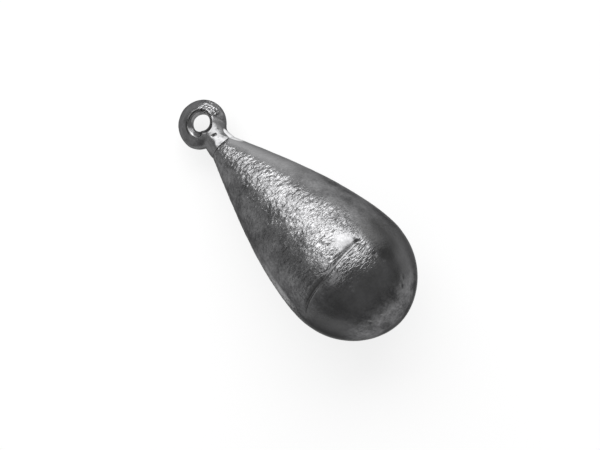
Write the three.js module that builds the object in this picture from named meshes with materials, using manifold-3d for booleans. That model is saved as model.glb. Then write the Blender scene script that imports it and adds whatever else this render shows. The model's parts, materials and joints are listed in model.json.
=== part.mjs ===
// A pear-shaped lead sinker lying on its side: a cast lead body with a ring eye cast into its neck.
// Millimetres, +Z up. It lies along X with the eye towards -X, and its lowest point is at z = 0.

import * as THREE from "three";
import { mergeVertices } from "three/addons/utils/BufferGeometryUtils.js";
import Module from "manifold-3d";

// Lead body, measured along its own axis from the neck face that the eye's collar sits on
const BELLY_DIAMETER = 25;
const TAPER_LENGTH = 33.5; // neck face to the widest section
const DOME_LENGTH = 13.75; // widest section to the bottom
const NECK_DIAMETER = 5.9;
const TAPER_ANGLE = 21.4; // degrees between the flank and the axis at the neck
const FLANK_RUN = 8.9; // how far the flank keeps that angle before it starts to round over
const BELLY_RUN = 10.3; // how far the belly's rounding reaches up the flank
const DOME_SIDE_FULLNESS = 0.62; // 0.55 is an ellipse, and more stands squarer
const DOME_TIP_FULLNESS = 0.45;

// Eye: a round-section ring on a collar
const RING_BORE = 3.6;
const RING_SECTION = 3;
const RING_OFFSET = 0.4; // the ring stands a little to one side of the body's axis
const COLLAR_HEIGHT = 3.65; // neck face to the middle of the ring's lowest limb
const COLLAR_WAIST_HEIGHT = 2.4;
const COLLAR_WAIST_DIAMETER = 5.4;
const COLLAR_CROWN_SHARE = 0.9; // thickness of the collar's top as a share of the ring section that hides it

// Stem of the eye, buried in the lead
const STEM_DIAMETER = 3;
const STEM_LENGTH = 11;
const FOOT_DIAMETER = 4.8; // anchor foot that keys the stem into the lead
const FOOT_LENGTH = 2.2;
const FOOT_BEVEL = 0.7;
const CASTING_GAP = 0.3; // clearance between the eye and the lead all round

// Facets
const BODY_SIDES = 28;
const STEM_SIDES = 24;
const RING_STEPS = 36;
const RING_SECTION_SIDES = 14;
const CURVE_STEPS = 10;
const COLLAR_STEPS = 5;

const wasm = await Module();
wasm.setup();

// A closed geometry as a solid that can be joined to others
function toSolid(geometry) {
  const bare = geometry.clone();
  bare.deleteAttribute("normal");
  bare.deleteAttribute("uv");
  const merged = mergeVertices(bare);
  return new wasm.Manifold(
    new wasm.Mesh({
      numProp: 3,
      vertProperties: merged.attributes.position.array,
      triVerts: Uint32Array.from(merged.index.array),
    }),
  );
}

function toGeometry(solid) {
  const mesh = solid.getMesh();
  const geometry = new THREE.BufferGeometry();
  geometry.setAttribute("position", new THREE.BufferAttribute(mesh.vertProperties, 3));
  geometry.setIndex(new THREE.BufferAttribute(mesh.triVerts, 1));
  geometry.computeVertexNormals();
  return geometry;
}

// Flank of the pear as half-section points (radius, height), from the bottom up to the neck face
function bodyFlank() {
  const belly = BELLY_DIAMETER / 2;
  const neck = NECK_DIAMETER / 2;
  const bottom = -TAPER_LENGTH - DOME_LENGTH;
  const angle = THREE.MathUtils.degToRad(TAPER_ANGLE);
  const flank = new THREE.Path();
  flank.moveTo(0, bottom);
  flank.bezierCurveTo(
    belly * DOME_TIP_FULLNESS, bottom,
    belly, -TAPER_LENGTH - DOME_LENGTH * DOME_SIDE_FULLNESS,
    belly, -TAPER_LENGTH,
  );
  flank.bezierCurveTo(
    belly, -TAPER_LENGTH + BELLY_RUN,
    neck + FLANK_RUN * Math.sin(angle), -FLANK_RUN * Math.cos(angle),
    neck, 0,
  );
  return flank.getPoints(CURVE_STEPS);
}

// Half-section of the buried stem from its end up to the neck face, grown by a clearance on every side
function stemOutline(clearance) {
  const stem = STEM_DIAMETER / 2 + clearance;
  const foot = FOOT_DIAMETER / 2 + clearance;
  const end = -STEM_LENGTH - clearance;
  const shoulder = -STEM_LENGTH + FOOT_LENGTH + clearance;
  return [
    new THREE.Vector2(0, end),
    new THREE.Vector2(foot - FOOT_BEVEL, end),
    new THREE.Vector2(foot, end + FOOT_BEVEL),
    new THREE.Vector2(foot, shoulder - (foot - stem)),
    new THREE.Vector2(stem, shoulder),
    new THREE.Vector2(stem, 0),
  ];
}

function makeBody(flank) {
  const pocket = stemOutline(CASTING_GAP).reverse();
  // Half a side of turn puts the middle of a facet, not an edge, straight down and at each side
  return new THREE.LatheGeometry([...flank, ...pocket], BODY_SIDES, Math.PI / BODY_SIDES);
}

// Half-section of the collar from the neck face up into the ring's lowest limb, as seen square to the ring
function collarOutline() {
  const seat = NECK_DIAMETER / 2;
  const waist = COLLAR_WAIST_DIAMETER / 2;
  const collar = new THREE.Path();
  collar.moveTo(seat, CASTING_GAP);
  collar.quadraticCurveTo(waist, (CASTING_GAP + COLLAR_WAIST_HEIGHT) / 2, waist, COLLAR_WAIST_HEIGHT);
  collar.lineTo(waist, (COLLAR_WAIST_HEIGHT + COLLAR_HEIGHT) / 2);
  collar.lineTo(waist, COLLAR_HEIGHT);
  collar.lineTo(0, COLLAR_HEIGHT);
  return collar.getPoints(COLLAR_STEPS);
}

// Carry the round collar into the ring: it leans over to the ring's middle and thins to the ring's section
function blendIntoRing(shank) {
  const place = shank.attributes.position;
  const thinnest = (RING_SECTION * COLLAR_CROWN_SHARE) / COLLAR_WAIST_DIAMETER;
  for (let i = 0; i < place.count; i++) {
    const rise = THREE.MathUtils.smoothstep(place.getY(i), CASTING_GAP, COLLAR_HEIGHT);
    place.setX(i, place.getX(i) + RING_OFFSET * rise);
    place.setZ(i, place.getZ(i) * THREE.MathUtils.lerp(1, thinnest, rise));
  }
}

function makeEye() {
  const stem = stemOutline(0);
  stem.at(-1).y = CASTING_GAP; // the stem meets the underside of the collar
  const shank = new THREE.LatheGeometry([...stem, ...collarOutline()], STEM_SIDES, Math.PI / STEM_SIDES);
  blendIntoRing(shank);
  const ringRadius = (RING_BORE + RING_SECTION) / 2;
  const ring = new THREE.TorusGeometry(ringRadius, RING_SECTION / 2, RING_SECTION_SIDES, RING_STEPS);
  ring.translate(RING_OFFSET, COLLAR_HEIGHT + ringRadius, 0);
  return toGeometry(toSolid(shank).add(toSolid(ring)));
}

// Height along the axis of the centre of volume of closed geometries taken together
function centreHeight(geometries) {
  const corners = [new THREE.Vector3(), new THREE.Vector3(), new THREE.Vector3()];
  let volume = 0;
  let moment = 0;
  for (const geometry of geometries) {
    const place = geometry.attributes.position;
    const index = geometry.index;
    for (let i = 0; i < index.count; i += 3) {
      corners.forEach((corner, k) => corner.fromBufferAttribute(place, index.getX(i + k)));
      const [a, b, c] = corners;
      const wedge = a.dot(b.clone().cross(c)) / 6;
      volume += wedge;
      moment += (wedge * (a.y + b.y + c.y)) / 4;
    }
  }
  return moment / volume;
}

// Angle between the axis and the ground when the body lies at rest: it settles on the stretch of flank
// that is square below its centre of volume, where that centre is lowest
function restingTilt(flank, centre) {
  const facetRadius = Math.cos(Math.PI / BODY_SIDES);
  let lowest = Infinity;
  let tilt = 0;
  for (let i = 1; i < flank.length; i++) {
    const low = new THREE.Vector2(flank[i - 1].x * facetRadius, flank[i - 1].y);
    const along = new THREE.Vector2(flank[i].x * facetRadius, flank[i].y).sub(low);
    const toCentre = new THREE.Vector2(0, centre).sub(low);
    const share = toCentre.dot(along) / along.lengthSq();
    const height = Math.abs(toCentre.cross(along)) / along.length();
    if (share >= 0 && share <= 1 && height < lowest) {
      lowest = height;
      tilt = Math.atan2(-along.x, along.y);
    }
  }
  return tilt;
}

const flank = bodyFlank();
const leadMetal = new THREE.MeshStandardMaterial({ color: 0x5c5d5f, roughness: 0.5, metalness: 0.8 });
const eyeMetal = new THREE.MeshStandardMaterial({ color: 0x6b6c6e, roughness: 0.35, metalness: 0.85 });
const body = new THREE.Mesh(makeBody(flank), leadMetal);
body.name = "lead_body";
const eye = new THREE.Mesh(makeEye(), eyeMetal);
eye.name = "cast_in_eye";

// Lay the axis down with the eye towards -X and low, and the ring's bore facing up
const tilt = restingTilt(flank, centreHeight([body.geometry, eye.geometry]));
const towardsEye = new THREE.Vector3(-Math.cos(tilt), 0, -Math.sin(tilt));
const boreUp = new THREE.Vector3(-Math.sin(tilt), 0, Math.cos(tilt));
const across = new THREE.Vector3().crossVectors(towardsEye, boreUp);
const lying = new THREE.Group();
lying.quaternion.setFromRotationMatrix(new THREE.Matrix4().makeBasis(across, towardsEye, boreUp));
lying.add(body, eye);

// Origin on the ground under the middle of the sinker
const sinker = new THREE.Group();
sinker.add(lying);
const reach = new THREE.Box3().setFromObject(sinker, true);
lying.position.set(-(reach.min.x + reach.max.x) / 2, -(reach.min.y + reach.max.y) / 2, -reach.min.z);

export default sinker;
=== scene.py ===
# %% [markdown]
# # A lead sinker on a white sheet
#
# The object is a pear of cast lead, about 59 mm long, with a ring for the line at its thin end. It is two
# pieces: the lead body, with a skin of small ripples from the mould, and a smoother eye whose stem is
# buried in the neck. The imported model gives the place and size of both, and this lesson makes their fine
# surface, finish and light. Lengths are in millimetres until a mesh is made.

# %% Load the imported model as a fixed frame
import json

import bpy
import numpy as np
from mathutils import Matrix


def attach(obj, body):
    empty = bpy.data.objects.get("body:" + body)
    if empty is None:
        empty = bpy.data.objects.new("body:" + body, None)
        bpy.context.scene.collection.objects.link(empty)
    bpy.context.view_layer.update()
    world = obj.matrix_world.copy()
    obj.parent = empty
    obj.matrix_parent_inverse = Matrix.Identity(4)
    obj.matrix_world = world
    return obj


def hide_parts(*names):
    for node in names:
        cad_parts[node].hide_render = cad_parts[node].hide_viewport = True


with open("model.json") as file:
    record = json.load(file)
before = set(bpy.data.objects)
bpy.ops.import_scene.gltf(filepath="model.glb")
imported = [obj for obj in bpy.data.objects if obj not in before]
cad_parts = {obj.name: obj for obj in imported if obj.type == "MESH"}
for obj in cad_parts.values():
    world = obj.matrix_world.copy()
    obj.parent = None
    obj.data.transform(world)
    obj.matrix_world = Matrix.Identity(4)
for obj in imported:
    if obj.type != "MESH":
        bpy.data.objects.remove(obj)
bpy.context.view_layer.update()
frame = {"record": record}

# %% [markdown]
# ## The sinker's own directions
#
# The sinker lies on its flank, so its axis leans against the floor. Rather than type that lean again, we
# read it from the record: the mount called line_eye gives the middle of the ring and the direction of its
# hole. Everything below is then written along the axis, to the side, or up the hole, and placed by one
# function.

# %% Read the axes from the line eye
MM = 0.001  # metres in a millimetre
RING_OFFSET = 0.4  # the ring stands this far to one side of the body's axis
RING_REACH = 6.95  # from the neck face to the middle of the ring
ACROSS = np.array([0.0, 1.0, 0.0])

line_eye = next(mount for mount in frame["record"]["mounts"] if mount["name"] == "line_eye")
bore_up = np.array(line_eye["axis"]) / np.linalg.norm(line_eye["axis"])
down_axis = np.cross(ACROSS, bore_up)  # from the eye towards the rounded bottom
ring_centre = np.array(line_eye["pos_m"]) / MM
neck_centre = ring_centre - RING_OFFSET * ACROSS + RING_REACH * down_axis


def place(along, side, rise):
    """Points in the frame: neck centre + along x axis + side x across + rise x direction of the hole."""
    parts = [np.asarray(values)[..., None] for values in (along, side, rise)]
    return neck_centre + parts[0] * down_axis + parts[1] * ACROSS + parts[2] * bore_up


lean = np.degrees(np.arcsin(down_axis[2]))
print("axis leans", round(float(lean), 2), "degrees, neck at", neck_centre.round(3))

# %% [markdown]
# ## The camera
#
# The photograph looks straight down on the sheet from a little under 0.2 m, and the sinker lies from upper
# left to lower right. The sinker could be turned under a fixed camera, but it has to stay in the frame that
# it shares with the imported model. So the camera hangs over it, turned about the vertical by that angle.

# %% Put the camera over the sheet
CAMERA_HEIGHT = 180
CAMERA_OVER = (3.317, -0.17)
CAMERA_TURN = 44.94  # degrees
LENS = 54.14

camera_data = bpy.data.cameras.new("camera")
camera_data.lens = LENS
camera_data.clip_start = 0.01
camera = bpy.data.objects.new("camera", camera_data)
camera.location = (CAMERA_OVER[0] * MM, CAMERA_OVER[1] * MM, CAMERA_HEIGHT * MM)
camera.rotation_euler = (0, 0, np.radians(CAMERA_TURN))
bpy.context.scene.collection.objects.link(camera)
bpy.context.scene.camera = camera
print("camera at", tuple(camera.location))

# %% [markdown]
# ## Noise that is the same on every run
#
# A cast skin is uneven at several scales. Blender's displacement textures could shape it, but a few lines
# of numpy give full control: random heights on a cubic lattice, blended smoothly between the lattice
# points. The random numbers come from mixing the bits of each lattice cell's place, so no seed state is
# needed.

# %% Value noise on arrays of points
CELL_FACTORS = np.array([374761393, 668265263, 1440662683])  # large odd numbers that scatter the cells
SEED_FACTOR = 974711
MIX_FACTOR = 1274126177


def lattice_height(cell, seed):
    """A height from -1 to 1 for each cell: its place times large odd numbers, with the bits mixed."""
    mixed = cell @ CELL_FACTORS + seed * SEED_FACTOR
    mixed = (mixed ^ (mixed >> 13)) * MIX_FACTOR & 0x7FFFFFFF
    mixed = mixed ^ (mixed >> 16)
    return (mixed & 0xFFFF) / 32767.5 - 1


def noise(points, cell_size, seed):
    """Heights of the eight lattice corners round each point, blended by the fade 6t^5 - 15t^4 + 10t^3."""
    scaled = points / cell_size
    cell = np.floor(scaled).astype(np.int64)
    t = scaled - cell
    fade = t**3 * (t * (6 * t - 15) + 10)
    total = np.zeros(points.shape[:-1])
    for corner in np.ndindex(2, 2, 2):
        weight = np.prod(np.where(corner, fade, 1 - fade), axis=-1)
        total += weight * lattice_height(cell + np.array(corner), seed)
    return total


print("noise at the origin:", noise(np.zeros((1, 3)), 1.0, 1))

# %% [markdown]
# ## The lead body: its outline
#
# The pear is a surface of revolution, so half of its section says it all. Two cubic curves give it: the
# long flank, which leaves the neck at a steady taper and rounds over at the belly, and the dome below. A
# spline through many points could do the same, but two curves with a few named sizes stay smooth and can be
# changed.

# %% Half-section of the pear
BELLY_RADIUS = 12.5
NECK_RADIUS = 2.95
TAPER_LENGTH = 33.5  # neck face to the widest section
DOME_LENGTH = 13.75
TAPER_ANGLE = np.radians(21.4)
FLANK_RUN = 8.9  # how far the flank keeps that angle before it starts to round over
BELLY_RUN = 10.3  # how far the belly's rounding reaches up the flank
DOME_SIDE_FULLNESS = 0.62
DOME_TIP_FULLNESS = 0.45
BOTTOM = TAPER_LENGTH + DOME_LENGTH
CURVE_POINTS = 2001


def cubic(start, first_handle, second_handle, end, t):
    """Cubic curve: the four points weighted by (1-t)^3, 3(1-t)^2 t, 3(1-t) t^2 and t^3."""
    t = t[:, None]
    points = np.array([start, first_handle, second_handle, end], float)
    weights = np.hstack([(1 - t) ** 3, 3 * (1 - t) ** 2 * t, 3 * (1 - t) * t**2, t**3])
    return weights @ points


def flank_outline():
    """Points (along, radius) from the edge of the neck face over the belly to the bottom."""
    t = np.linspace(0, 1, CURVE_POINTS)
    neck = (0, NECK_RADIUS)
    leave = (FLANK_RUN * np.cos(TAPER_ANGLE), NECK_RADIUS + FLANK_RUN * np.sin(TAPER_ANGLE))
    widest = (TAPER_LENGTH, BELLY_RADIUS)
    flank = cubic(neck, leave, (TAPER_LENGTH - BELLY_RUN, BELLY_RADIUS), widest, t)
    side = (TAPER_LENGTH + DOME_LENGTH * DOME_SIDE_FULLNESS, BELLY_RADIUS)
    tip = (BOTTOM, BELLY_RADIUS * DOME_TIP_FULLNESS)
    dome = cubic(widest, side, tip, (BOTTOM, 0), t)
    return np.vstack([flank, dome[1:]])


outline = flank_outline()
print("outline from", outline[0], "to", outline[-1])

# %% [markdown]
# ## The lead body: rows and columns
#
# A grid of rows along the outline and columns round the axis carries the surface. An even grid that is fine
# enough for the thin fold would be too heavy elsewhere, so the rows lie closer together only there: we say
# how far apart rows should be at each place, add up how many rows that asks for, and read the row places
# back off that sum. The columns crowd on top, which is the side that is seen.

# %% Space the rows and columns
COLUMNS = 300
TOP_SHARE = 0.38  # how much closer than their mean the columns lie along the top
# Distances along the axis, and the step between rows there
ROW_STEPS = ((0, 31.5, 31.7, 36.2, 36.5, 47.3), (0.17, 0.17, 0.1, 0.1, 0.28, 0.28))


def row_places(path):
    """Outline points a wanted step apart: rows so far = sum of length / step, read back by interpolation."""
    lengths = np.hypot(*np.diff(path, axis=0).T)
    middles = (path[1:, 0] + path[:-1, 0]) / 2
    rows_so_far = np.concatenate([[0], np.cumsum(lengths / np.interp(middles, *ROW_STEPS))])
    wanted = np.linspace(0, rows_so_far[-1], int(rows_so_far[-1]) + 1)
    return np.stack([np.interp(wanted, rows_so_far, path[:, k]) for k in (0, 1)], axis=1)


rows = row_places(outline)
even_turn = np.arange(COLUMNS) * 2 * np.pi / COLUMNS
turn = even_turn - TOP_SHARE * np.sin(even_turn)  # angle from the top of the lying body, towards +Y
print(len(rows), "rows of", COLUMNS, "columns")

# %% [markdown]
# ## The lead body: its uneven skin
#
# Lead freezes fast against a cold mould and keeps a skin of dents and ripples that run round the body. A
# sculpting brush could draw them, but noise used as real height is quicker and repeats exactly. The ripples
# are stretched round the body by squeezing the noise along the axis, and a patch by the fold stays smooth.
# Finer ripples than the grid can hold come later, as bump in the finish.

# %% Dents and ripples as height
SWELL = {"height": 0.07, "size": 9.0, "seed": 11}  # the slow unevenness of a hand-poured casting
DENT = {"height": 0.02, "size": 2.0, "seed": 12}
RIPPLE = {"height": 0.062, "size": 0.4, "seed": 13}
RIPPLE_STRETCH = 1.9  # how much longer a ripple is round the body than along it
# Distances along the axis, and the strength of the ripples there
RIPPLE_SHARE = ((0, 8, 14, 26, 33.2, 34.2, 38, 41), (1.3, 1.6, 1.5, 1.2, 1.1, 0.55, 0.45, 0.25))
PATCH_ALONG = 31.4  # middle of a smooth patch by the fold
PATCH_ANGLE = np.radians(14.5)
PATCH_REACH = (2.6, 1.1)  # no smoothing beyond the first distance, full inside the second
patch_spot = (PATCH_ALONG, BELLY_RADIUS * np.sin(PATCH_ANGLE), BELLY_RADIUS * np.cos(PATCH_ANGLE))
patch_centre = place(*patch_spot)


def smooth_step(low, high, values):
    """0 before low, 1 past high, and 3t^2 - 2t^3 between."""
    t = np.clip((values - low) / (high - low), 0, 1)
    return t * t * (3 - 2 * t)


def relief(points, height, size, seed):
    """Noise of a given size, times a height."""
    return height * noise(points, size, seed)


def skin_height(points, calm):
    """Swell + dents + ripples on a lattice squeezed along the axis, with less height where calm."""
    along_axis = (points - neck_centre) @ down_axis
    squeezed = points + along_axis[..., None] * down_axis * (RIPPLE_STRETCH - 1)
    stretched = RIPPLE | {"size": RIPPLE["size"] * RIPPLE_STRETCH}
    ripples = relief(squeezed, **stretched) * np.interp(along_axis, *RIPPLE_SHARE)
    off_patch = 1 - smooth_step(*PATCH_REACH, np.linalg.norm(points - patch_centre, axis=-1))
    return relief(points, **SWELL) + relief(points, **DENT) + off_patch * ripples * (1 - calm)


print("ripples of up to", round(RIPPLE["height"] * max(RIPPLE_SHARE[1]), 3), "mm")

# %% [markdown]
# ## The lead body: the fold across the belly
#
# Where two fronts of molten lead met, at the widest section, they left a fold: a groove with a raised lip
# and a low bulge on the bottom side. A knife cut with a boolean would leave sharp edges. Instead its middle
# is a curve on the skin, given as a distance along the axis at a few angles, and the height depends only on
# how far a point is from it.

# %% Groove, lip and bulge
# Angle in degrees, distance along the axis, depth of the groove, height of lip and bulge, share of oxide and
# painted shade
FOLD = np.array(
    [
        [-60, 34.5, 0, 0, 0, 0],
        [-52, 34.2, 0.12, 0.05, 0.04, 0.6],
        [-42, 33.8, 0.2, 0.08, 0.08, 1],
        [-30, 33.55, 0.2, 0.09, 0.12, 1],
        [-17, 33.6, 0.13, 0.08, 0.14, 0.5],
        [-6, 33.35, 0.11, 0.06, 0.14, 0.1],
        [4, 33.15, 0.11, 0.03, 0.1, 0],
        [12, 33.1, 0.12, 0.02, 0.05, 0],
        [22, 33.1, 0.12, 0.02, 0, 0],
        [27, 33.2, 0, 0, 0, 0],
    ]
)
GROOVE_WIDTHS = (0.65, 0.26)  # it falls slowly from the neck's side and rises steeply beyond
LIP_BEYOND = 0.4
LIP_WIDTHS = (0.3, 1.1)  # steep towards the groove and gentle beyond
BULGE_BEYOND = 2.0
BULGE_WIDTH = 1.5
FOLD_DARK_BEFORE = 0.14  # the oxide and painted shade lie on the slow side of the groove
FOLD_DARK_WIDTH = 0.28
fold_angles = np.radians(FOLD[:, 0])
fold_along, groove_depths, lip_heights, bulge_heights, oxide_and_shade_shares = FOLD[:, 1:].T


def bell(distance, width):
    """e to the power of minus the square of distance over width."""
    return np.exp(-((distance / width) ** 2))


def past_fold(along, angle):
    """Distance beyond the middle of the fold, towards the bottom."""
    return along - np.interp(angle, fold_angles, fold_along)


def fold_height(along, angle):
    """Lip + bulge - groove: bell curves across the fold, each with its own height at every angle."""
    past = past_fold(along, angle)
    past_lip = past - LIP_BEYOND
    groove = np.interp(angle, fold_angles, groove_depths) * bell(past, np.where(past < 0, *GROOVE_WIDTHS))
    lip = np.interp(angle, fold_angles, lip_heights) * bell(past_lip, np.where(past_lip < 0, *LIP_WIDTHS))
    bulge = np.interp(angle, fold_angles, bulge_heights) * bell(past - BULGE_BEYOND, BULGE_WIDTH)
    return lip + bulge - groove


def fold_oxide_and_shade(along, angle):
    """Share of dark oxide and painted shade in the groove: a bell curve on its slow side."""
    off_fold_dark = past_fold(along, angle) + FOLD_DARK_BEFORE
    return np.interp(angle, fold_angles, oxide_and_shade_shares) * bell(off_fold_dark, FOLD_DARK_WIDTH)


print("fold from", FOLD[0, 0], "to", FOLD[-1, 0], "degrees, up to", groove_depths.max(), "mm deep")

# %% [markdown]
# ## The lead body: where the skin is calm
#
# The ripples don't cover the whole casting. They fade beside the fold, on the dome, on the flanks and
# underside, and past a wandering line on the +Y side. A mask could be painted by hand, but steps of
# distance and angle can be read and changed. The largest of them counts at each point.

# %% Share by which the ripples are calmed
BY_FOLD = 0.85
BY_FOLD_WIDTHS = (0.7, 0.3)  # before the fold and beyond it
PAST_FOLD = 0.3
PAST_FOLD_SPAN = (0.5, 1.2)
LOW_DOME = 0.8  # past the fold, on the -Y side
LOW_DOME_SPAN = (0.2, 0.9)
LOW_DOME_ANGLES = np.radians([2, -14])
FLANKS = 0.6
FLANK_ANGLES = np.radians([38, 66])
UNDERSIDE = 0.25  # more than on the flanks
UNDERSIDE_ANGLES = np.radians([100, 150])
PAST_EDGE = 0.85
# Distances along the axis, and the angle in degrees at which the ripples end on the +Y side
RIPPLE_EDGE = ((0, 3, 8, 13, 22, 25, 28, 32, 36, 45), (14, 20, 30, 32, 29, 36, 34, 27, 26, 22))
EDGE_SOFTNESS = np.radians(8)


def skin_calm(along, angle):
    """The largest of five shares: by the fold, past it, low on the dome, on the flanks, past the edge."""
    past = past_fold(along, angle)
    in_fold = (angle > fold_angles[0]) & (angle < fold_angles[-1])
    past_edge = angle - np.radians(np.interp(along, *RIPPLE_EDGE))
    underside = FLANKS + UNDERSIDE * smooth_step(*UNDERSIDE_ANGLES, np.abs(angle))
    shares = [
        BY_FOLD * in_fold * bell(past, np.where(past < 0, *BY_FOLD_WIDTHS)),
        PAST_FOLD * smooth_step(*PAST_FOLD_SPAN, past),
        LOW_DOME * smooth_step(*LOW_DOME_SPAN, past) * smooth_step(*LOW_DOME_ANGLES, angle),
        underside * smooth_step(*FLANK_ANGLES, np.abs(angle)),
        PAST_EDGE * smooth_step(-EDGE_SOFTNESS, EDGE_SOFTNESS, past_edge),
    ]
    return np.max(shares, axis=0)


print("calm at the side of the belly:", skin_calm(np.array([20.0]), np.radians([90])).round(2))

# %% [markdown]
# ## The lead body: pits
#
# The fold ends in an open pit, and gas left small blow holes and grains on the dome. They are too few for
# noise, so each has its own place, radius and depth, and a negative depth is a grain that stands out.

# %% Pits and grains
PITS = np.array(  # along, angle in degrees, radius, depth
    [
        [32.9, 22.5, 0.34, 0.2],
        [33.6, 24.2, 0.38, 0.24],
        [34.4, 25.5, 0.36, 0.18],
        [36.6, 26.3, 0.28, 0.16],
        [38.2, 30.0, 0.26, 0.14],
        [36.9, -25.2, 0.22, 0.1],
        [37.3, -7.3, 0.22, 0.1],
        [38.7, -8.8, 0.26, -0.12],
        [42.4, 40.0, 0.28, 0.1],
        [43.3, 34.5, 0.26, 0.1],
        [44.3, -7.5, 0.28, -0.09],
        [43.9, -26.5, 0.28, 0.1],
        [41.4, 19.0, 0.26, -0.07],
    ]
)


def pit_height(along, angle, radius):
    """Each pit is a bell-shaped dent in the distance over the skin from its middle."""
    total = np.zeros(along.shape)
    for pit_along, pit_angle, pit_radius, depth in PITS:
        round_skin = radius * (angle - np.radians(pit_angle))
        total -= depth * bell(np.hypot(along - pit_along, round_skin), pit_radius)
    return total


print(len(PITS), "pits and grains")

# %% [markdown]
# ## The lead body: the neck and its pocket
#
# The lead was poured round the eye's stem, so the neck has a pocket of the stem's shape with a shallow cup
# for the collar. In the middle of the seen side the lead shrank from the collar, and its rim dips a little.
# At the sides it stayed flush, and there the joint hardly shows. A boolean could cut the pocket, but as a
# few more rows of the same grid it leaves no broken faces.

# %% Pocket and rim
CUP_RADIUS = 2.74  # hollow in the neck face that the eye's collar sits in
CUP_DEPTH = 0.9
STEM_RADIUS = 1.5
STEM_LENGTH = 11.0
FOOT_RADIUS = 2.4  # anchor foot that keys the stem into the lead
FOOT_LENGTH = 2.2
FOOT_BEVEL = 0.7
CASTING_GAP = 0.3
RIM_FADE = 0.3  # the skin's relief fades out over this length at the rim
RIM_DROP = 0.14  # how far the rim dips, and over what length
RIM_DROP_LENGTH = 0.6
RIM_SIDES = ((-0.35, 0.0), (0.75, 0.4))  # from no dip to all of it, by the sine of the angle, on each side


def pocket_outline(clearance):
    """Points (along, radius) down the cup and round the buried stem to its foot, grown by a clearance."""
    stem = STEM_RADIUS + clearance
    foot = FOOT_RADIUS + clearance
    end = STEM_LENGTH + clearance
    shoulder = STEM_LENGTH - FOOT_LENGTH - clearance
    return np.array(
        [
            [0, CUP_RADIUS],
            [CUP_DEPTH, CUP_RADIUS],
            [CUP_DEPTH, stem],
            [shoulder, stem],
            [shoulder + foot - stem, foot],
            [end - FOOT_BEVEL, foot],
            [end, foot - FOOT_BEVEL],
            [end, 0],
        ]
    )


def shrunk(sine):
    """1 where the lead shrank from the collar and 0 where it is flush: a step up times a step down."""
    return np.prod([smooth_step(*span, sine) for span in RIM_SIDES], axis=0)


print("pocket of", len(pocket_outline(CASTING_GAP)), "rows")

# %% [markdown]
# ## The lead body: all its points
#
# The flank is pushed out along its own normal by the sum of those heights, and the pocket follows, so that
# the body is one closed skin, as the real casting is. A Displace modifier could push it too, but needs a
# texture for each height. Both ends of the grid are on the axis. The share of oxide and painted shade in the
# fold, and the calm, are kept for each point, because the finish needs them too.

# %% Work out the body's points
body_angle = (turn + np.pi) % (2 * np.pi) - np.pi


def round_axis(along, radius, angle):
    """Points round the axis: radius x sine to the side and radius x cosine up."""
    return place(along, radius * np.sin(angle), radius * np.cos(angle))


def flank_points():
    """Rows from the bottom to the neck, moved by height x normal, with the oxide and painted shade, and the
    calm, of each point.
    """
    slope = np.gradient(rows, axis=0)[::-1]
    slope = slope / np.hypot(*slope.T)[:, None]
    out_along, out_radius = -slope[:, 1:], slope[:, :1]
    out_along[0], out_radius[0] = 1, 0
    along, angle = np.meshgrid(rows[::-1, 0], body_angle, indexing="ij")
    radius = np.repeat(rows[::-1, 1:], COLUMNS, axis=1)
    calm = skin_calm(along, angle)
    height = np.clip(along / RIM_FADE, 0, 1) * skin_height(round_axis(along, radius, angle), calm)
    height += fold_height(along, angle) + pit_height(along, angle, radius)
    height -= RIM_DROP * shrunk(np.sin(angle)) * (1 - smooth_step(0, RIM_DROP_LENGTH, along))
    moved = round_axis(along + height * out_along, radius + height * out_radius, angle)
    return moved, fold_oxide_and_shade(along, angle), calm


def pocket_points():
    """Rows of the pocket from the neck face to the axis."""
    pocket = pocket_outline(CASTING_GAP)
    along, angle = np.meshgrid(pocket[:, 0], body_angle, indexing="ij")
    return round_axis(along, np.repeat(pocket[:, 1:], COLUMNS, axis=1), angle)


flank, *flank_marks = flank_points()
pocket = pocket_points()
body_grid = np.vstack([flank, pocket])
body_marks = [np.vstack([share, np.zeros(pocket.shape[:2])]) for share in flank_marks]
print("body grid", body_grid.shape)

# %% [markdown]
# ## From a grid to a mesh
#
# One helper turns rows and columns into a closed mesh. The columns wrap round, and the first and last rows
# are single points with a fan of triangles. Another measures the enclosed volume: a positive volume means
# that the faces point outwards. Blender could recalculate the normals, but numbering the faces the right
# way round needs no repair.


# %% Number the faces of a closed grid
def closed_grid_faces(row_count, column_count):
    """Point numbers of the faces: a fan at each end, and a square for each step of row and column between."""
    column = np.arange(column_count)
    following = (column + 1) % column_count
    start = 1 + np.arange(row_count - 3)[:, None] * column_count
    below = start + column_count
    squares = np.stack([start + column, start + following, below + following, below + column], axis=-1)
    last_row = 1 + (row_count - 3) * column_count
    last_point = last_row + column_count
    first_fan = np.stack([np.zeros_like(column), 1 + following, 1 + column], axis=-1)
    last_fan = np.stack([np.full_like(column, last_point), last_row + column, last_row + following], axis=-1)
    return [squares.reshape(-1, 4), first_fan, last_fan]


def as_list(grid):
    """Grid rows one after the other, with the single points at both ends."""
    return np.concatenate([grid[:1, 0], grid[1:-1].reshape(-1, *grid.shape[2:]), grid[-1:, 0]])


body_points = as_list(body_grid)
body_faces = closed_grid_faces(*body_grid.shape[:2])
print(len(body_points), "points, faces by kind:", [len(faces) for faces in body_faces])

# %% Make the mesh and measure it
BODY_SHARP = 50  # degrees, past which an edge stays hard


def enclosed_volume(points, faces):
    """Sum over triangles of a . (b x c) / 6, with each four-cornered face taken as two triangles."""
    corners = points[faces]
    first = np.einsum("ij,ij->i", corners[:, 0], np.cross(corners[:, 1], corners[:, 2]))
    second = np.einsum("ij,ij->i", corners[:, 0], np.cross(corners[:, 2], corners[:, -1]))
    return (first.sum() + second.sum()) / 6


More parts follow.
